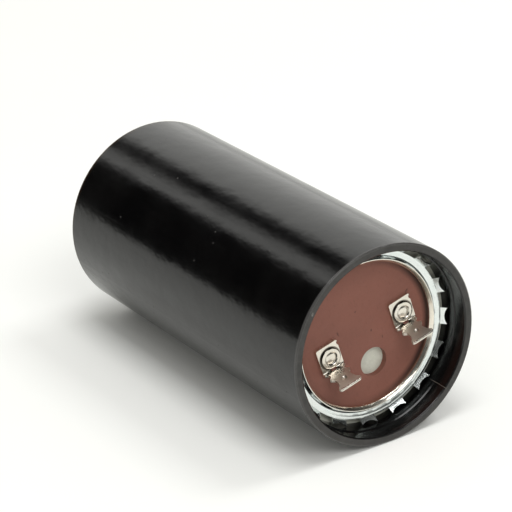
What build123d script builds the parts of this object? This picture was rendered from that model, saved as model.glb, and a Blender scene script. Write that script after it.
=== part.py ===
"""Motor start capacitor: phenolic cup, riveted terminal cover, toothed retaining ring.

The capacitor stands on its closed base.  The origin is the middle of the base,
+Z is the case axis and points out of the terminal end, and the two terminals lie
along X with their blades folded up on the +Y side.  Lengths are millimetres.
"""
import os
from math import cos, radians, sin, tan

from build123d import *

os.makedirs("parts", exist_ok=True)

# ---- case -------------------------------------------------------------------
CASE_OD = 52.4            # 2-1/16 in standard case
CASE_H = 111.1            # 4-3/8 in standard case
RIM_BORE_D = 48.0         # mouth of the bore
GRIP_BORE_D = 47.4        # bore that the ring teeth bite and the seal fills
SHOULDER_DEPTH = 4.4      # rim to the small shoulder between the two bores
CAVITY_D = 45.4           # bore below the seal ledge
BASE_T = 3.2
BASE_BEVEL = 0.9          # broken edge round the base
RIM_BREAK = 0.3           # broken outer edge of the rim
RIM_BEVEL = 0.35          # bevel into the bore

# ---- cover stack, measured down from the rim --------------------------------
BOARD_DEPTH = 9.0
BOARD_D, BOARD_T = 44.0, 1.6
SEAL_T = 2.0              # rubber under the board
SEAL_RIM_DROP = 0.3       # rubber rim ends this far below the board face
VENT_D = 7.6
VENT_X, VENT_Y = 0.0, 8.6

# ---- retaining ring ---------------------------------------------------------
RING_T = 0.5
LIP_R, LIP_H = 18.9, 1.8  # inner lip: a rolled hem that stands on the board
CREST_R = 19.7            # top of the hem
CREASE_R, CREASE_H = 20.5, 0.8    # foot of the hem, where the dished band starts
BAND_R, BAND_H = 22.0, 1.35   # outer edge of the band, where the gaps end
TEETH = 16
TOOTH_W = 4.4
TOOTH_SLOPE = 40.0        # degrees, teeth to board
TOOTH_PHASE = 4.0         # degrees
TOOTH_HOLLOW = 0.75       # depth of the concave tooth end

# ---- terminals --------------------------------------------------------------
TERM_X = 11.3             # rivet centres at +-TERM_X
TAB_W, TAB_T = 6.35, 0.8  # 1/4 in quick-connect blade
PLATE_BACK = 3.7          # plate edge behind the rivet centre
PLATE_FRONT = 2.9         # start of the fold in front of the rivet centre
FOLD_R = 0.3              # inner radius of the fold
BLADE_ANGLE = 77.0        # blade to board
BLADE_L = 7.1             # straight part of the blade
WAIST_W = 4.4             # narrowest width, between the plate and the head
EAR_W, EAR_AT = 6.1, 2.35 # width over the two small ears, and their place on the waist
HEAD_FROM = 6.1           # the blade is full width again from here
TIP_TAPER = 0.45
DETENT_AT = 4.2           # dimple, up the straight part
PLATE_CHAMFER = 0.3

# ---- rivets and inner parts -------------------------------------------------
RIVET_SHANK_R = 1.6
RIVET_HEAD_R = 2.8
RIVET_FOOT_R = 2.9
WASHER_R, WASHER_T = 4.0, 0.6
LEAD_T, LEAD_W = 0.25, 5.0
WINDING_R = 21.2
DISC_T = 0.4
WINDING_Z = (7.0, 91.5)

Z_BOARD = CASE_H - BOARD_DEPTH            # upper face of the board
Z_SEAL_TOP = Z_BOARD - BOARD_T
Z_LEDGE = Z_SEAL_TOP - SEAL_T
Z_PLATE = Z_BOARD + TAB_T                 # upper face of the terminal plates
Z_TAB = Z_LEDGE - WASHER_T                # upper face of the lead tabs' eyes


def save(part, name):
    part.label = name
    export_step(part, f"parts/{name}.step")


# ---- case: one moulded phenolic cup -----------------------------------------
R_OUT = CASE_OD / 2
with BuildPart() as case:
    with BuildSketch(Plane.XZ) as section:
        with BuildLine():
            Polyline(
                (0, 0), (R_OUT, 0), (R_OUT, CASE_H), (RIM_BORE_D / 2, CASE_H),
                (RIM_BORE_D / 2, CASE_H - SHOULDER_DEPTH + 0.25),
                (GRIP_BORE_D / 2, CASE_H - SHOULDER_DEPTH),
                (GRIP_BORE_D / 2, Z_LEDGE), (CAVITY_D / 2, Z_LEDGE),
                (CAVITY_D / 2, BASE_T), (0, BASE_T), (0, 0),
            )
        make_face()
        chamfer([v for v in section.vertices() if abs(v.X - R_OUT) < 1e-6 and v.Y < 1],
                BASE_BEVEL)
        chamfer([v for v in section.vertices()
                 if abs(v.X - R_OUT) < 1e-6 and abs(v.Y - CASE_H) < 1e-6], RIM_BREAK)
        chamfer([v for v in section.vertices()
                 if abs(v.X - RIM_BORE_D / 2) < 1e-6 and abs(v.Y - CASE_H) < 1e-6], RIM_BEVEL)
    revolve(axis=Axis.Z)
save(case.part, "case")

# ---- rubber seal: a shallow cup round the board, which also closes the vent hole ----
with BuildPart() as rubber_seal:
    with Locations((0, 0, Z_LEDGE)):
        Cylinder(GRIP_BORE_D / 2, SEAL_T + BOARD_T - SEAL_RIM_DROP,
                 align=(Align.CENTER, Align.CENTER, Align.MIN))
    with Locations((0, 0, Z_SEAL_TOP)):
        Cylinder(BOARD_D / 2, BOARD_T, align=(Align.CENTER, Align.CENTER, Align.MIN),
                 mode=Mode.SUBTRACT)
    with Locations((TERM_X, 0, Z_LEDGE), (-TERM_X, 0, Z_LEDGE)):
        Cylinder(RIVET_SHANK_R, SEAL_T, align=(Align.CENTER, Align.CENTER, Align.MIN),
                 mode=Mode.SUBTRACT)
save(rubber_seal.part, "rubber_seal")

# ---- terminal board: paper-phenolic disc --------------------------------------
with BuildPart() as terminal_board:
    with Locations((0, 0, Z_SEAL_TOP)):
        Cylinder(BOARD_D / 2, BOARD_T, align=(Align.CENTER, Align.CENTER, Align.MIN))
    with Locations((TERM_X, 0, Z_SEAL_TOP), (-TERM_X, 0, Z_SEAL_TOP)):
        Cylinder(RIVET_SHANK_R, BOARD_T, align=(Align.CENTER, Align.CENTER, Align.MIN),
                 mode=Mode.SUBTRACT)
    with Locations((VENT_X, VENT_Y, Z_SEAL_TOP)):
        Cylinder(VENT_D / 2, BOARD_T, align=(Align.CENTER, Align.CENTER, Align.MIN),
                 mode=Mode.SUBTRACT)
save(terminal_board.part, "terminal_board")

# ---- retaining ring: one stamped spring-steel sheet ----------------------------
R_GRIP = GRIP_BORE_D / 2 - 0.02           # tooth corners reach the bore
tip_r = (R_GRIP ** 2 - (TOOTH_W / 2) ** 2) ** 0.5   # reach of a square tooth end
slope = radians(TOOTH_SLOPE)
root_r = BAND_R + 0.05
on_board = Plane((0, 0, Z_BOARD), x_dir=(1, 0, 0), z_dir=(0, -1, 0))   # heights above the board
tip_h = BAND_H - RING_T + (tip_r - root_r) * tan(slope)   # underside of the tip
with BuildPart() as retaining_ring:
    with BuildSketch(on_board):
        with BuildLine():
            Polyline(
                (LIP_R, 0), (LIP_R, LIP_H - 0.8), (CREST_R - 0.1, LIP_H - 0.03),
                (CREST_R + 0.1, LIP_H), (CREASE_R, CREASE_H), (BAND_R, BAND_H),
                (BAND_R, BAND_H - RING_T), (LIP_R + RING_T, 0), (LIP_R, 0),
            )
        make_face()
    revolve(axis=Axis.Z)
    # a tooth: strip folded up from the band, with a hollow end
    with BuildPart(mode=Mode.PRIVATE) as tooth:
        with BuildSketch(on_board):
            with BuildLine():
                Polyline(
                    (BAND_R - 0.2, BAND_H - RING_T + 0.05), (root_r, BAND_H - RING_T + 0.03),
                    (tip_r, tip_h), (tip_r, tip_h + 0.1),
                    (tip_r - RING_T * sin(slope), tip_h + 0.1 + RING_T * cos(slope)),
                    (BAND_R, BAND_H - 0.03), (BAND_R - 0.2, BAND_H - 0.1),
                    (BAND_R - 0.2, BAND_H - RING_T + 0.05),
                )
            make_face()
        extrude(amount=TOOTH_W / 2, both=True)
        half = TOOTH_W / 2
        hollow_r = (half ** 2 + TOOTH_HOLLOW ** 2) / (2 * TOOTH_HOLLOW)
        reach = hollow_r - TOOTH_HOLLOW       # punched square to the tooth
        punch = Plane((tip_r + reach * cos(slope), 0, Z_BOARD + tip_h + reach * sin(slope)),
                      x_dir=(cos(slope), 0, sin(slope)), z_dir=(-sin(slope), 0, cos(slope)))
        with BuildSketch(punch):
            RegularPolygon(hollow_r, 24)
        extrude(amount=2, both=True, mode=Mode.SUBTRACT)
    with PolarLocations(0, TEETH, start_angle=TOOTH_PHASE):
        add(tooth.part)
save(retaining_ring.part, "retaining_ring")


# ---- terminals: tin-plated brass strip, folded once ----------------------------
def terminal(cx):
    a = radians(BLADE_ANGLE)
    rho = FOLD_R + TAB_T / 2
    zc = Z_PLATE + FOLD_R
    w = TAB_W / 2
    with BuildPart() as term:
        with BuildSketch(Plane.XY.offset(Z_BOARD)):
            with BuildLine():
                Polyline(      # the corner at -x keeps the spur where it was sheared off
                    (cx - w + PLATE_CHAMFER, -PLATE_BACK), (cx + w - PLATE_CHAMFER, -PLATE_BACK),
                    (cx + w, -PLATE_BACK + PLATE_CHAMFER), (cx + w, PLATE_FRONT),
                    (cx - w, PLATE_FRONT), (cx - w, -PLATE_BACK + 1.6),
                    (cx - w + 0.35, -PLATE_BACK + 1.3), (cx - w + 0.35, -PLATE_BACK + 0.7),
                    (cx - w, -PLATE_BACK + 0.3), (cx - w + PLATE_CHAMFER, -PLATE_BACK),
                )
            make_face()
            with Locations((cx, 0)):
                Circle(RIVET_SHANK_R, mode=Mode.SUBTRACT)
        extrude(amount=TAB_T)
        # the fold
        with BuildSketch(Plane((cx, PLATE_FRONT, 0), x_dir=(1, 0, 0), z_dir=(0, 1, 0))):
            with Locations((0, -(Z_BOARD + TAB_T / 2))):
                Rectangle(TAB_W, TAB_T)
        revolve(axis=Axis((cx, PLATE_FRONT, zc), (1, 0, 0)), revolution_arc=BLADE_ANGLE)
        # the blade: shoulders, two ears, waist, bevelled end
        origin = (cx, PLATE_FRONT + rho * sin(a), zc - rho * cos(a))
        blade_plane = Plane(origin, x_dir=(1, 0, 0), z_dir=(0, -sin(a), cos(a)))
        with BuildSketch(blade_plane):
            waist, ear = WAIST_W / 2, EAR_W / 2
            with BuildLine():
                Polyline((0, 0), (w, 0), (w - 0.1, 0.35))
                ThreePointArc((w - 0.1, 0.35), (waist + 0.2, 0.85), (waist, 1.6))
                Polyline((waist, 1.6), (ear - 0.1, EAR_AT - 0.2), (ear, EAR_AT),
                         (ear - 0.15, EAR_AT + 0.25), (waist, EAR_AT + 0.75))
                ThreePointArc((waist, EAR_AT + 0.75), (waist + 0.1, HEAD_FROM - 1.2),
                              (w, HEAD_FROM))
                Polyline((w, HEAD_FROM), (w, BLADE_L - TIP_TAPER), (w - TIP_TAPER, BLADE_L),
                         (0, BLADE_L))
                mirror(about=Plane.YZ)
            make_face()
        extrude(amount=TAB_T / 2, both=True)
        # detent dimple that the receptacle's spring drops into
        with Locations(blade_plane.offset(TAB_T / 2 - 0.2)):
            with Locations((0, DETENT_AT, 0)):
                Cone(0.35, 0.75, 0.4, mode=Mode.SUBTRACT)
        # bevel on both faces of the blade end
        end_edges = [e for e in term.edges()
                     if abs((e.center() - Vector(*origin)).dot(Vector(0, cos(a), sin(a))) - BLADE_L) < 1e-3
                     and e.length > TAB_W - 1.5]
        chamfer(end_edges, 0.2)
        # relief hole in the fold
        mid = a * 0.62
        hole_at = Plane((cx, PLATE_FRONT + rho * sin(mid), zc - rho * cos(mid)),
                        x_dir=(1, 0, 0), z_dir=(0, -sin(mid), cos(mid)))
        with BuildSketch(hole_at):
            SlotOverall(1.6, 0.9)
        extrude(amount=1.2, both=True, mode=Mode.SUBTRACT)
    return term.part


save(terminal(TERM_X), "terminal_right")
save(terminal(-TERM_X), "terminal_left")

# ---- rivets: aluminium, rolled over on the plate, flat foot inside --------------
z_foot = Z_TAB - LEAD_T
with BuildPart() as rivet:
    with BuildSketch(Plane.XZ):
        with BuildLine():
            head = [
                (0, z_foot - 0.8), (RIVET_FOOT_R, z_foot - 0.8),
                (RIVET_FOOT_R, z_foot), (RIVET_SHANK_R, z_foot),
                (RIVET_SHANK_R, Z_PLATE), (RIVET_HEAD_R, Z_PLATE),
                (RIVET_HEAD_R, Z_PLATE + 0.25), (2.6, Z_PLATE + 0.5), (1.85, Z_PLATE + 0.58),
                (1.55, Z_PLATE + 0.2), (1.1, Z_PLATE + 0.38), (0, Z_PLATE + 0.46),
            ]
            Polyline(*head, head[0])
        make_face()
    revolve(axis=Axis.Z)
with BuildPart() as terminal_rivets:
    with Locations((TERM_X, 0, 0), (-TERM_X, 0, 0)):
        add(rivet.part)
save(terminal_rivets.part, "terminal_rivets")

# ---- washers under the seal ----------------------------------------------------
with BuildPart() as rivet_washers:
    with Locations((TERM_X, 0, Z_LEDGE), (-TERM_X, 0, Z_LEDGE)):
        Cylinder(WASHER_R, WASHER_T, align=(Align.CENTER, Align.CENTER, Align.MAX))
        Cylinder(RIVET_SHANK_R, WASHER_T, align=(Align.CENTER, Align.CENTER, Align.MAX),
                 mode=Mode.SUBTRACT)
save(rivet_washers.part, "rivet_washers")


# ---- lead tabs: aluminium strip from a rivet to the end of the winding -----------
def lead_tab(cx, drop_x):
    """Eye round the rivet at cx, strip along X, folded down at drop_x to the winding."""
    z_end = WINDING_Z[1]
    way = 1 if drop_x > cx else -1
    x_mid = (cx + drop_x) / 2
    with BuildPart() as tab:
        with Locations((cx, 0, Z_TAB)):
            Cylinder(LEAD_W / 2 + 0.4, LEAD_T, align=(Align.CENTER, Align.CENTER, Align.MAX))
        with Locations((x_mid, 0, Z_TAB)):
            Box(abs(drop_x - cx), LEAD_W, LEAD_T,
                align=(Align.CENTER, Align.CENTER, Align.MAX))
        with Locations((drop_x - way * LEAD_T / 2, 0, z_end)):
            Box(LEAD_T, LEAD_W, Z_TAB - z_end,
                align=(Align.CENTER, Align.CENTER, Align.MIN))
        with Locations((cx, 0, Z_TAB)):
            Cylinder(RIVET_SHANK_R, 4, mode=Mode.SUBTRACT)
    return tab.part


save(lead_tab(-TERM_X, -6.0), "lead_tab_inner")
save(lead_tab(TERM_X, 17.0), "lead_tab_outer")

# ---- winding: foil and paper rolled into one tight roll ---------------------------
z0, z1 = WINDING_Z
with BuildPart() as winding:
    with Locations((0, 0, z0)):
        Cylinder(WINDING_R, z1 - z0, align=(Align.CENTER, Align.CENTER, Align.MIN))
save(winding.part, "winding")

# ---- insulating discs, and the pitch that the roll is set in ---------------------
with BuildPart() as top_disc:
    with Locations((0, 0, z1)):
        Cylinder(CAVITY_D / 2 - 0.5, DISC_T, align=(Align.CENTER, Align.CENTER, Align.MIN))
    with Locations((-6.0 + LEAD_T / 2 - LEAD_T, 0, z1), (17.0 - LEAD_T / 2, 0, z1)):
        Box(LEAD_T + 1.2, LEAD_W + 1.0, 4, mode=Mode.SUBTRACT)
save(top_disc.part, "top_disc")

with BuildPart() as bottom_disc:
    with Locations((0, 0, z0)):
        Cylinder(WINDING_R, DISC_T, align=(Align.CENTER, Align.CENTER, Align.MAX))
save(bottom_disc.part, "bottom_disc")

with BuildPart() as anchor_compound:
    with Locations((0, 0, BASE_T)):
        Cylinder(CAVITY_D / 2, z0 - DISC_T - BASE_T,
                 align=(Align.CENTER, Align.CENTER, Align.MIN))
save(anchor_compound.part, "anchor_compound")
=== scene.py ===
"""Motor start capacitor: materials, softened edges, table, lights and camera.

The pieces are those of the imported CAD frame, at their own size and place.  The part
stands on its closed base along +Z, and the table and the camera are turned so that it
lies on its side, as in the photograph.  Lengths are metres, colours are linear.
"""
import math

import bmesh
import bpy
from mathutils import Matrix, Vector


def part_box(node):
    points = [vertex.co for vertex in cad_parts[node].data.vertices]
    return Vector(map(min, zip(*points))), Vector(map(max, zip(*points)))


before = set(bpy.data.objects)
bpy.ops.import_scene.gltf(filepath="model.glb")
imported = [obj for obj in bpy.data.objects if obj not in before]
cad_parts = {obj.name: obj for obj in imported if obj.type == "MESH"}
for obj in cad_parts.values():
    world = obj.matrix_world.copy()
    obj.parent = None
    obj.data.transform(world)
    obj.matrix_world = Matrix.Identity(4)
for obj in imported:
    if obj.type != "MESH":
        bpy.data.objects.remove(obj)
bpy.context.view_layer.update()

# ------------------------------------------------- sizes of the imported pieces
LOW, HIGH = (Vector(v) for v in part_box("case"))
R_CASE = (HIGH.x - LOW.x) / 2
H_CASE = HIGH.z
TERM_LOW, TERM_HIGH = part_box("terminal_right")
TERM_X = (TERM_LOW[0] + TERM_HIGH[0]) / 2       # the rivets stand at +-TERM_X
TERM_TOP = TERM_HIGH[2]
R_RIVET = 0.0028                # rolled head
R_RIVET_GROOVE = 0.00155        # groove in the rolled head
PAST_FOLD = 0.0032              # y in a terminal's fold; its blade is past it
R_HEM = 0.019                   # inside of the ring's hem, where the board goes out of sight
R_CREST = 0.0199, 0.0196        # just outside and just inside the hem's crest
R_TEETH = 0.0219, 0.0223        # where the ring's band passes into its teeth

# ------------------------------------------------------ directions of the photo
UP = Vector((-0.2549, -0.9664, 0.0)).normalized()      # up from the table the case lies on
SIDE = UP.cross(Vector((0, 0, 1))) * -1                # level, where the case faces the camera
AXIS = Vector((0, 0, 1))

# ------------------------------------------------------------- marks and wear
# A blot is x, y, direction in radians, length, width.
RIM_NICK = (0.01587, -0.01936, 0.9, 0.0011, 0.0006)
BOARD_SCARS = (
    (0.00695, -0.0042, 1.7, 0.0019, 0.00055),
    (-0.0145, -0.0041, 0.7, 0.0014, 0.0007),
    (-0.0020, 0.0002, 1.2, 0.0009, 0.0005),
    (-0.0044, 0.0036, 1.4, 0.0012, 0.0003),
    (0.0006, -0.0070, 0.4, 0.0008, 0.0004),
)
CRACK_ANGLE = 2.098             # radians round the case from +X
CRACK_HALF = 0.00011, 0.00004   # half width where it starts to show, and where it is full
CRACK_WANDER = 0.0009           # how far it strays from straight
CRACK_DEPTH = 0.006, 0.0045     # below the rim, where it fades in
R_CRACK = 0.0248, 0.0242        # where it ends on the rim
R_HEM_SHADE = 0.0172, 0.0187         # painted shade on the board by the ring's hem, from none to full

EDGE_ROUND = 0.00008            # rounding of the metal pieces' sharp edges
WELD_BEFORE = 0.000004          # joins the frame's split vertices
WELD_AFTER = 0.000001           # drops what the rounding leaves without area


# ---------------------------------------------------------------- node helpers
class Mat:
    """A procedural material: one Principled shader, and helpers that add nodes to it.

    A value is a number, a tuple or a node's output.  An input is named by its socket,
    with _ for a space, or by its number, as i0, i1 and so on.
    """

    def __init__(self, name, **values):
        self.mat = bpy.data.materials.new(name)
        self.mat.use_nodes = True
        self.nt = self.mat.node_tree
        self.bsdf = self.nt.nodes["Principled BSDF"]
        self.out(**values)
        self.coord = self.node("TexCoord").outputs["Object"]

    def put(self, socket, value):
        if isinstance(value, bpy.types.NodeSocket):
            self.nt.links.new(value, socket)
        else:
            socket.default_value = value

    def node(self, kind, attrs=None, **inputs):
        n = self.nt.nodes.new("ShaderNode" + kind)
        for key, value in (attrs or {}).items():
            setattr(n, key, value)
        for key, value in inputs.items():
            by_number = key[0] == "i" and key[1:].isdigit()
            self.put(n.inputs[int(key[1:]) if by_number else key.replace("_", " ")], value)
        return n

    def out(self, **inputs):
        """Set or link the shader's own sockets."""
        for key, value in inputs.items():
            self.put(self.bsdf.inputs[key.replace("_", " ")], value)
        return self.mat

    # arithmetic
    def math(self, op, a, b=0.0):
        return self.node("Math", {"operation": op}, i0=a, i1=b).outputs[0]

    def plus(self, a, b):
        return self.math("ADD", a, b)

    def minus(self, a, b):
        return self.math("SUBTRACT", a, b)

    def times(self, a, b):
        return self.math("MULTIPLY", a, b)

    def hypot(self, a, b):
        return self.math("SQRT", self.plus(self.times(a, a), self.times(b, b)))

    def ramp(self, fac, lo, hi, a=0.0, b=1.0):
        """fac from lo..hi mapped to a..b, clamped."""
        return self.node("MapRange", i0=fac, i1=lo, i2=hi, i3=a, i4=b).outputs[0]

    def mix(self, fac, a, b):
        """Colour a where fac is 0, colour b where it is 1."""
        n = self.node("Mix", {"data_type": "RGBA"}, i0=fac)     # 6, 7 and output 2: colours
        for socket, value in ((n.inputs[6], a), (n.inputs[7], b)):
            self.put(socket, value if isinstance(value, bpy.types.NodeSocket) else (*value, 1.0))
        return n.outputs[2]

    def lerp(self, fac, a, b):
        """Number a where fac is 0, number b where it is 1."""
        return self.node("Mix", {"data_type": "FLOAT"}, i0=fac, i2=a, i3=b).outputs[0]

    # places on the part
    def xyz(self, of=None):
        """The three parts of a vector, or of the coordinates."""
        return self.node("SeparateXYZ", i0=of or self.coord).outputs

    def faces_up(self):
        """How far the surface faces +Z."""
        return self.xyz(self.node("NewGeometry").outputs["Normal"])[2]

    def radius(self):
        x, y, _ = self.xyz()
        return self.hypot(x, y)

    def turned(self, angle):
        """The coordinates in axes turned about Z by angle."""
        return self.node("Mapping", {"vector_type": "TEXTURE"}, i0=self.coord,
                         Rotation=(0, 0, angle)).outputs[0]

    # patterns
    def noise(self, scale, detail=4.0, rough=0.55, vec=None):
        return self.node("TexNoise", Scale=scale, Detail=detail, Roughness=rough,
                         Vector=vec or self.coord).outputs["Fac"]

    def stretched(self, sx, sy, sz, detail, rough, turn=0.0):
        """Noise drawn out along the axes that have the smaller scales."""
        vec = self.node("Mapping", i0=self.coord, Scale=(sx, sy, sz),
                        Rotation=(0, 0, turn)).outputs[0]
        return self.noise(1.0, detail, rough, vec)

    def specks(self, scale, size, bare):
        """Small round dots in the cells of a loose grid, of which the share bare has none."""
        n = self.node("TexVoronoi", {"feature": "F1"}, Scale=scale, Vector=self.coord)
        pick = self.node("SeparateColor", i0=n.outputs["Color"]).outputs[0]
        return self.times(self.ramp(n.outputs["Distance"], size, size / 2),
                          self.math("GREATER_THAN", pick, bare))

    def blot(self, x, y, angle, length, width):
        """1 inside a small ellipse seen along Z, fading over its outer half."""
        v = self.node("Mapping", {"vector_type": "TEXTURE"}, i0=self.coord,
                      Location=(x, y, 0), Rotation=(0, 0, angle),
                      Scale=(length / 2, width / 2, 1)).outputs[0]
        flat = self.node("VectorMath", {"operation": "MULTIPLY"}, i0=v, i1=(1, 1, 0)).outputs[0]
        d = self.node("VectorMath", {"operation": "LENGTH"}, i0=flat).outputs["Value"]
        return self.ramp(d, 1.0, 0.5)

    def bump(self, height, distance, strength, after=None):
        n = self.node("Bump", Strength=strength, Distance=distance, Height=height)
        if after is not None:
            self.put(n.inputs["Normal"], after)
        return n.outputs[0]


def dress(node, mat):
    """Give a CAD node its material."""
    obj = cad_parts[node]
    if not obj.material_slots:
        obj.data.materials.append(mat)
    for slot in obj.material_slots:
        slot.link = "OBJECT"
        slot.material = mat


def soften(node, width, angle=35):
    """Round a CAD node's sharp edges a little, so that they catch the light."""
    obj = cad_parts[node]
    obj.modifiers.new("weld", "WELD").merge_threshold = WELD_BEFORE
    bevel = obj.modifiers.new("edge", "BEVEL")
    bevel.width, bevel.segments = width, 2
    bevel.limit_method, bevel.angle_limit = "ANGLE", math.radians(angle)
    bevel.use_clamp_overlap = True
    bevel.harden_normals = True
    obj.modifiers.new("slivers", "WELD").merge_threshold = WELD_AFTER


# ------------------------------------------------------------------- materials
def phenolic_case():
    """Glossy black moulding, with a satin ground rim, a painted highlight along the rim's outer
    edge and a brown base edge.
    """
    m = Mat("case_phenolic", IOR=1.49)
    z, r = m.xyz()[2], m.radius()

    # where the rim, its outer edge and the edge of the base are
    rim = m.times(m.ramp(z, H_CASE - 0.00025, H_CASE - 0.00012), m.ramp(m.faces_up(), 0.6, 0.95))
    rim_edge_highlight = m.times(m.ramp(z, H_CASE - 0.0007, H_CASE - 0.0003),
                       m.ramp(r, R_CASE - 0.0006, R_CASE - 0.0001))
    base_edge = m.times(m.ramp(z, 0.0020, 0.0009), m.ramp(r, R_CASE - 0.0018, R_CASE - 0.0008))

    # patterns
    cloud = m.noise(55, 5, 0.6)
    fine = m.noise(1400, 3, 0.6)
    streak = m.stretched(900, 900, 35, 4, 0.6)          # along the side
    ground = m.stretched(450, 450, 30, 3, 0.7)          # on the rim
    haze = m.times(m.ramp(m.noise(30, 6, 0.65), 0.5, 0.72), 0.5)
    dust = m.specks(420, 0.10, 0.955)

    # the body: black, a little hazy and dusty, brown along the base edge
    body = m.mix(m.ramp(cloud, 0.35, 0.7), (0.0010, 0.0009, 0.0011), (0.0020, 0.0018, 0.0019))
    brown = m.mix(m.ramp(m.noise(260, 3), 0.35, 0.65),
                  (0.030, 0.018, 0.010), (0.060, 0.034, 0.018))
    body = m.mix(m.times(base_edge, 0.85), body, brown)
    body = m.mix(haze, body, (0.0065, 0.0062, 0.0056))
    body = m.mix(m.times(dust, 0.5), body, (0.16, 0.15, 0.14))

    # the rim: dark grey, with a painted highlight along its outer edge, and one nick
    grey = m.mix(m.ramp(ground, 0.3, 0.7), (0.027, 0.0255, 0.0235), (0.046, 0.0435, 0.041))
    grey = m.mix(m.times(m.ramp(fine, 0.5, 0.75), 0.35), grey, (0.07, 0.066, 0.062))
    colour = m.mix(rim, body, grey)
    # painted highlight along the rim's outer edge
    colour = m.mix(m.times(rim_edge_highlight, 0.4), colour, (0.16, 0.155, 0.15))
    nick = m.times(m.blot(*RIM_NICK), m.ramp(fine, 0.3, 0.5))
    colour = m.mix(nick, colour, (0.30, 0.29, 0.27))

    # a fine crack that runs out of the bore over the rim
    along, across, _ = m.xyz(m.turned(CRACK_ANGLE))
    off = m.math("ABSOLUTE", m.plus(across, m.times(m.minus(cloud, 0.5), CRACK_WANDER)))
    crack = m.times(m.ramp(off, *CRACK_HALF), m.math("GREATER_THAN", along, 0.0))
    ends = m.times(m.ramp(z, *(H_CASE - depth for depth in CRACK_DEPTH)), m.ramp(r, *R_CRACK))
    colour = m.mix(m.times(m.times(crack, ends), 0.8), colour, (0.15, 0.13, 0.11))

    rough = m.lerp(m.ramp(cloud, 0.3, 0.7), 0.13, 0.20)
    rough = m.plus(rough, m.times(m.ramp(streak, 0.55, 0.75), 0.08))
    rough = m.plus(rough, m.times(haze, 0.10))
    rough = m.lerp(rim, rough, 0.47)
    rough = m.lerp(dust, rough, 0.8)

    waves = m.plus(m.stretched(190, 190, 130, 3, 0.5), m.times(m.noise(620, 3), 0.07))
    grain = m.times(m.plus(ground, m.times(fine, 0.6)), rim)
    normal = m.bump(grain, 0.00010, 0.5, after=m.bump(waves, 0.0003, 0.40))
    return m.out(Base_Color=colour, Roughness=rough, Normal=normal)


def board_laminate():
    """Red-brown paper phenolic, matt, with short fibres, faint clouding, scratches and painted
    shade by the ring's hem.
    """
    m = Mat("board_laminate", Specular_IOR_Level=0.35)
    cloud = m.noise(70, 5, 0.6)
    fibre = m.stretched(700, 2600, 700, 5, 0.65, turn=0.5)
    fleck = m.stretched(2600, 700, 700, 4, 0.7, turn=0.2)
    colour = m.mix(m.ramp(cloud, 0.3, 0.7), (0.224, 0.085, 0.061), (0.280, 0.110, 0.080))
    colour = m.mix(m.times(m.ramp(fibre, 0.50, 0.78), 0.35), colour, (0.27, 0.130, 0.098))
    colour = m.mix(m.times(m.ramp(fleck, 0.56, 0.78), 0.45), colour, (0.120, 0.048, 0.034))

    scars = m.blot(*BOARD_SCARS[0])
    for scar in BOARD_SCARS[1:]:
        scars = m.math("MAXIMUM", scars, m.blot(*scar))
    scars = m.times(scars, m.ramp(fleck, 0.35, 0.5))
    colour = m.mix(m.times(scars, 0.75), colour, (0.05, 0.020, 0.014))

    # painted shade in the corner under the ring's hem, most where the board is furthest from
    # SIDE
    x, y, _ = m.xyz()
    away = m.math("DIVIDE", m.plus(m.times(x, -SIDE.x), m.times(y, -SIDE.y)), R_HEM)
    hem_shade = m.times(m.ramp(m.radius(), *R_HEM_SHADE), m.ramp(away, 0.0, 0.8, 0.15, 0.95))
    colour = m.mix(hem_shade, colour, (0.030, 0.011, 0.007))

    rough = m.lerp(m.ramp(cloud, 0.3, 0.7), 0.50, 0.62)
    grain = m.plus(fibre, m.times(fleck, 0.8))
    return m.out(Base_Color=colour, Roughness=rough, Normal=m.bump(grain, 0.00004, 0.6))


def plated(name, light, dark, stain, rough, scale=1.0, dist=0.00003, shade_rings=(), blade=0.0):
    """Bright plated sheet with clouding, rolling streaks and small stains.

    rough is the roughness of its smoothest and its dullest places.
    The rings of painted shade round the rivet axes are given as middle radius, half width,
    strength.
    blade is how much rougher the sheet gets past a terminal's fold, but for its tip; there the
    sheet is also tinted browner, a painted reflection of the board.
    """
    m = Mat(name, Metallic=1.0)
    cloud = m.noise(160 * scale, 4, 0.6)
    streak = m.stretched(3200 * scale, 260 * scale, 900 * scale, 4, 0.6)
    spots = m.noise(900 * scale, 3, 0.6)
    colour = m.mix(m.ramp(cloud, 0.35, 0.7), dark, light)
    colour = m.mix(m.times(m.ramp(spots, 0.60, 0.78), 0.6), colour, stain)
    for middle, half, strength in shade_rings:
        x, y, _ = m.xyz()
        from_rivet = m.hypot(m.minus(m.math("ABSOLUTE", x), TERM_X), y)
        off = m.math("ABSOLUTE", m.minus(from_rivet, middle))
        ring = m.ramp(off, half, half * 0.4, 0.0, strength)
        # painted shade: dark rings where a rivet head meets the sheet and in the head's groove
        colour = m.mix(ring, colour, (0.055, 0.045, 0.035))
    drawn = m.plus(cloud, m.times(m.minus(streak, 0.5), 0.5))
    roughness = m.lerp(m.ramp(drawn, 0.35, 0.7), *rough)
    if blade:
        _, y, z = m.xyz()
        below_tip = m.ramp(z, TERM_TOP - 0.0005, TERM_TOP - 0.0003, 1.0, 0.0)
        past = m.times(m.ramp(y, PAST_FOLD, PAST_FOLD + 0.0008), below_tip)
        roughness = m.plus(roughness, m.times(past, blade))
        # painted reflection: past the fold the sheet is tinted towards the board's brown
        colour = m.mix(m.times(past, 0.45), colour, (0.60, 0.53, 0.45))
    grain = m.plus(streak, m.times(spots, 0.5))
    return m.out(Base_Color=colour, Roughness=roughness, Normal=m.bump(grain, dist, 0.35))


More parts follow.
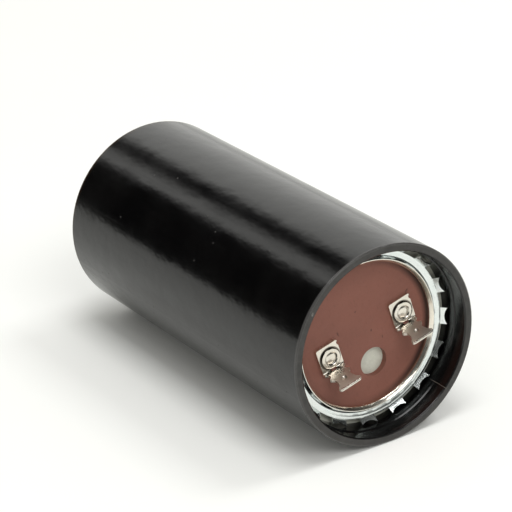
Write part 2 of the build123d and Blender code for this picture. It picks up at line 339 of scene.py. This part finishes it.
def ring_zinc():
    """Zinc plate, a little yellow on the hem, and mottled where the teeth were formed."""
    m = Mat("ring_zinc", Metallic=1.0)
    r = m.radius()
    cloud = m.noise(160, 4, 0.6)
    spots = m.noise(900, 3, 0.6)
    mottle = m.times(m.noise(2200, 3, 0.6), m.ramp(r, *R_TEETH))
    colour = m.mix(m.ramp(cloud, 0.35, 0.7), (0.83, 0.88, 0.87), (0.91, 0.95, 0.93))
    colour = m.mix(m.ramp(r, *R_CREST), colour, (0.93, 0.87, 0.76))
    colour = m.mix(m.times(m.ramp(spots, 0.60, 0.78), 0.6), colour, (0.55, 0.58, 0.58))
    rough = m.lerp(m.ramp(cloud, 0.35, 0.7), 0.16, 0.26)
    normal = m.bump(mottle, 0.00003, 0.6, after=m.bump(spots, 0.00001, 0.35))
    return m.out(Base_Color=colour, Roughness=rough, Normal=normal)


def matt(name, dark, light, scale, rough=0.8, dist=0.00005):
    """A dull material with two tones and a fine grain."""
    m = Mat(name, Specular_IOR_Level=0.3)
    cloud = m.noise(scale, 5, 0.6)
    grain = m.noise(scale * 6.0, 4, 0.65)
    tone = m.ramp(m.plus(m.times(cloud, 0.6), m.times(grain, 0.4)), 0.35, 0.65)
    return m.out(Base_Color=m.mix(tone, dark, light),
                 Roughness=m.lerp(cloud, rough - 0.08, rough + 0.08),
                 Normal=m.bump(grain, dist, 0.6))


TIN = {"light": (0.90, 0.85, 0.765), "dark": (0.78, 0.73, 0.645), "stain": (0.48, 0.41, 0.33)}
ALUMINIUM = {"light": (0.80, 0.80, 0.80), "dark": (0.66, 0.66, 0.67), "stain": (0.4, 0.4, 0.4)}
FOIL = {"light": (0.88, 0.88, 0.88), "dark": (0.76, 0.76, 0.77), "stain": (0.5, 0.5, 0.5)}

dress("case", phenolic_case())
dress("terminal_board", board_laminate())
dress("retaining_ring", ring_zinc())
# The terminals and rivets get rings of painted shade round the rivet heads.
for node in ("terminal_left", "terminal_right"):
    dress(node, plated(node + "_tin", rough=(0.18, 0.30), dist=0.000010, blade=0.14,
                       shade_rings=[(R_RIVET + 0.0001, 0.0003, 0.8)], **TIN))
dress("terminal_rivets",
      plated("rivet_tin", rough=(0.15, 0.25), scale=1.6, dist=0.000006,
             shade_rings=[(R_RIVET, 0.00025, 0.85), (R_RIVET_GROOVE, 0.00025, 0.4)], **TIN))
dress("rivet_washers", plated("washer_aluminium", rough=(0.3, 0.45), **ALUMINIUM))
for node in ("lead_tab_inner", "lead_tab_outer"):
    dress(node, plated(node + "_foil", rough=(0.25, 0.4), **FOIL))
dress("rubber_seal",
      matt("seal_rubber", (0.56, 0.56, 0.485), (0.70, 0.70, 0.61), 300, 0.75, 0.00003))
dress("winding", matt("winding_paper", (0.50, 0.43, 0.31), (0.66, 0.60, 0.47), 120))
for node in ("top_disc", "bottom_disc"):
    dress(node, matt(node + "_fishpaper", (0.40, 0.27, 0.15), (0.55, 0.40, 0.25), 200, 0.75))
dress("anchor_compound",
      matt("anchor_pitch", (0.010, 0.009, 0.009), (0.030, 0.027, 0.024), 90, 0.35, 0.0002))

for node in ("retaining_ring", "terminal_left", "terminal_right", "terminal_rivets"):
    soften(node, EDGE_ROUND)

# ----------------------------------------------------------------- the studio
TABLE_HALF = 3.0
TABLE_GAP = 0.00005             # between the case and the table it lies on

# What gloss sees.  Two numbers are the start and the end of a soft step: degrees round
# the case axis, 0 straight up from the table, or the part of a direction along the axis.
WALL_FAR = (-178, -150)
WALL_NEAR = (-23, -6)
WALL_END = (0.0, -0.3)          # it is only towards the closed end
WALL_LEVEL = 1.22
WINDOW_NEAR = (0, 17)
WINDOW_FAR = (21, 29)
WINDOW_END = (-0.35, -0.6)
WINDOW_LEVEL = 1.2
FRONT = (0.1, 0.5)              # where the room in front of the open end starts
FRONT_LEVEL = 0.08
ROOM_LEVEL = 0.012

FILL_LEVEL = 0.50               # the plain fill for dull surfaces
LIGHT_TINT = (1.0, 1.0, 0.965, 1)
BACKGROUND = (0.975, 0.978, 0.958, 1)

CAMERA_AT = Vector((0.2268, -0.3350, 0.5644))
CAMERA_TO = Vector((0.0002, -0.0061, 0.0560))
CAMERA_UP = Vector((-0.4933, -0.8140, -0.3067))
SENSOR, LENS = 36.0, 176.1      # millimetres


def add(name, data):
    """A new object in the scene."""
    obj = bpy.data.objects.new(name, data)
    bpy.context.scene.collection.objects.link(obj)
    return obj


def look_at(obj, target, up):
    """Point -Z of obj at target, with its +Y towards up."""
    back = (obj.location - target).normalized()
    right = up.cross(back).normalized()
    obj.rotation_euler = Matrix((right, back.cross(right), back)).transposed().to_euler()


def place(side, up, axis):
    """A point in the table's own directions, from the middle of the case."""
    return Vector((0, 0, H_CASE / 2)) + SIDE * side + UP * up + AXIS * axis


def softbox(name, where, target, size, watts):
    """A rectangular lamp at where, turned to target."""
    data = bpy.data.lights.new(name, "AREA")
    data.shape, data.size, data.size_y = "RECTANGLE", *size
    data.energy = watts
    obj = add(name, data)
    obj.location = where
    along_axis = abs((where - target).normalized().dot(AXIS)) >= 0.9
    look_at(obj, target, UP if along_axis else AXIS)


def table():
    """A pale table tangent to the side of the case; seen from below it isn't there."""
    mesh = bpy.data.meshes.new("table")
    bm = bmesh.new()
    bmesh.ops.create_grid(bm, x_segments=1, y_segments=1, size=TABLE_HALF)
    bm.to_mesh(mesh)
    bm.free()
    obj = add("table", mesh)
    turn = Matrix((SIDE, AXIS, UP)).transposed().to_4x4()
    if turn.determinant() < 0:
        turn = Matrix((-SIDE, AXIS, UP)).transposed().to_4x4()
    obj.matrix_world = Matrix.Translation(-UP * (R_CASE + TABLE_GAP)) @ turn

    m = Mat("table_white", Specular_IOR_Level=0.1, Roughness=0.8)
    to_camera = m.node("LightPath").outputs["Is Camera Ray"]
    shade = m.ramp(m.noise(8, 3), 0.3, 0.7)
    seen = m.mix(shade, (0.956, 0.959, 0.930), (0.969, 0.972, 0.946))
    lit = m.mix(shade, (0.84, 0.845, 0.815), (0.87, 0.875, 0.845))
    m.out(Base_Color=m.mix(to_camera, lit, seen))
    below = m.node("NewGeometry").outputs["Backfacing"]
    clear = m.node("BsdfTransparent").outputs[0]
    both = m.node("MixShader", i0=below, i1=m.bsdf.outputs[0], i2=clear).outputs[0]
    m.put(m.nt.nodes["Material Output"].inputs["Surface"], both)
    mesh.materials.append(m.mat)


def sky():
    """Near white for the camera.  Gloss sees a dim room with a white wall to the right of
    the case and a window behind its closed end; dull surfaces get a plain grey fill."""
    world = bpy.data.worlds.new("studio")
    bpy.context.scene.world = world
    world.use_nodes = True
    nt = world.node_tree
    link = nt.links.new

    def node(kind, **attrs):
        n = nt.nodes.new("ShaderNode" + kind)
        for key, value in attrs.items():
            setattr(n, key, value)
        return n

    def along(axis):
        n = node("VectorMath", operation="DOT_PRODUCT")
        link(node("TexCoord").outputs["Generated"], n.inputs[0])
        n.inputs[1].default_value = axis
        return n.outputs["Value"]

    def calc(op, a, b):
        n = node("Math", operation=op)
        link(a, n.inputs[0])
        link(b, n.inputs[1])
        return n.outputs[0]

    def step(value, lo, hi, a=0.0, b=1.0):
        """A soft step from a, at lo, to b, at hi."""
        n = node("MapRange", interpolation_type="SMOOTHSTEP")
        link(value, n.inputs[0])
        for socket, v in zip(list(n.inputs)[1:5], (lo, hi, a, b)):
            socket.default_value = v
        return n.outputs[0]

    round_axis = calc("ARCTAN2", along(SIDE), along(UP))
    on_axis = along(AXIS)

    def patch(rises, falls, end, level):
        """Light of a level between two angles round the axis, past an end along it."""
        rise = step(round_axis, *map(math.radians, rises))
        fall = step(round_axis, *map(math.radians, falls), level, 0.0)
        return calc("MULTIPLY", calc("MULTIPLY", rise, fall), step(on_axis, *end))

    wall = patch(WALL_FAR, WALL_NEAR, WALL_END, WALL_LEVEL)
    window = patch(WINDOW_NEAR, WINDOW_FAR, WINDOW_END, WINDOW_LEVEL)
    dim = step(on_axis, *FRONT, ROOM_LEVEL, FRONT_LEVEL)
    room = calc("ADD", calc("MAXIMUM", wall, window), dim)

    path = node("LightPath")
    level = node("Mix", data_type="FLOAT")
    link(path.outputs["Is Glossy Ray"], level.inputs[0])
    level.inputs[2].default_value = FILL_LEVEL
    link(room, level.inputs[3])
    tint = node("Mix", data_type="RGBA", blend_type="MULTIPLY")
    tint.inputs[0].default_value = 1.0
    link(level.outputs[0], tint.inputs[6])
    tint.inputs[7].default_value = LIGHT_TINT
    seen = node("Mix", data_type="RGBA")
    link(path.outputs["Is Camera Ray"], seen.inputs[0])
    link(tint.outputs[2], seen.inputs[6])
    seen.inputs[7].default_value = BACKGROUND
    link(seen.outputs[2], nt.nodes["Background"].inputs["Color"])


table()
sky()
softbox("key", place(-1.20, 1.90, 0.24), place(0, 0, 0.02), (0.60, 0.60), 9.8)
softbox("top", place(0.10, 2.80, 0.50), place(0, 0, 0.02), (1.24, 1.04), 26.4)
softbox("front", place(0.14, 1.64, 1.81), place(0, 0, 0.05), (1.44, 0.80), 15.6)

camera = add("camera", bpy.data.cameras.new("camera"))
camera.data.sensor_width, camera.data.lens = SENSOR, LENS
camera.data.clip_start, camera.data.clip_end = 0.02, 20
camera.location = CAMERA_AT
look_at(camera, CAMERA_TO, CAMERA_UP)
bpy.context.scene.camera = camera
bpy.context.scene.view_settings.view_transform = "Standard"
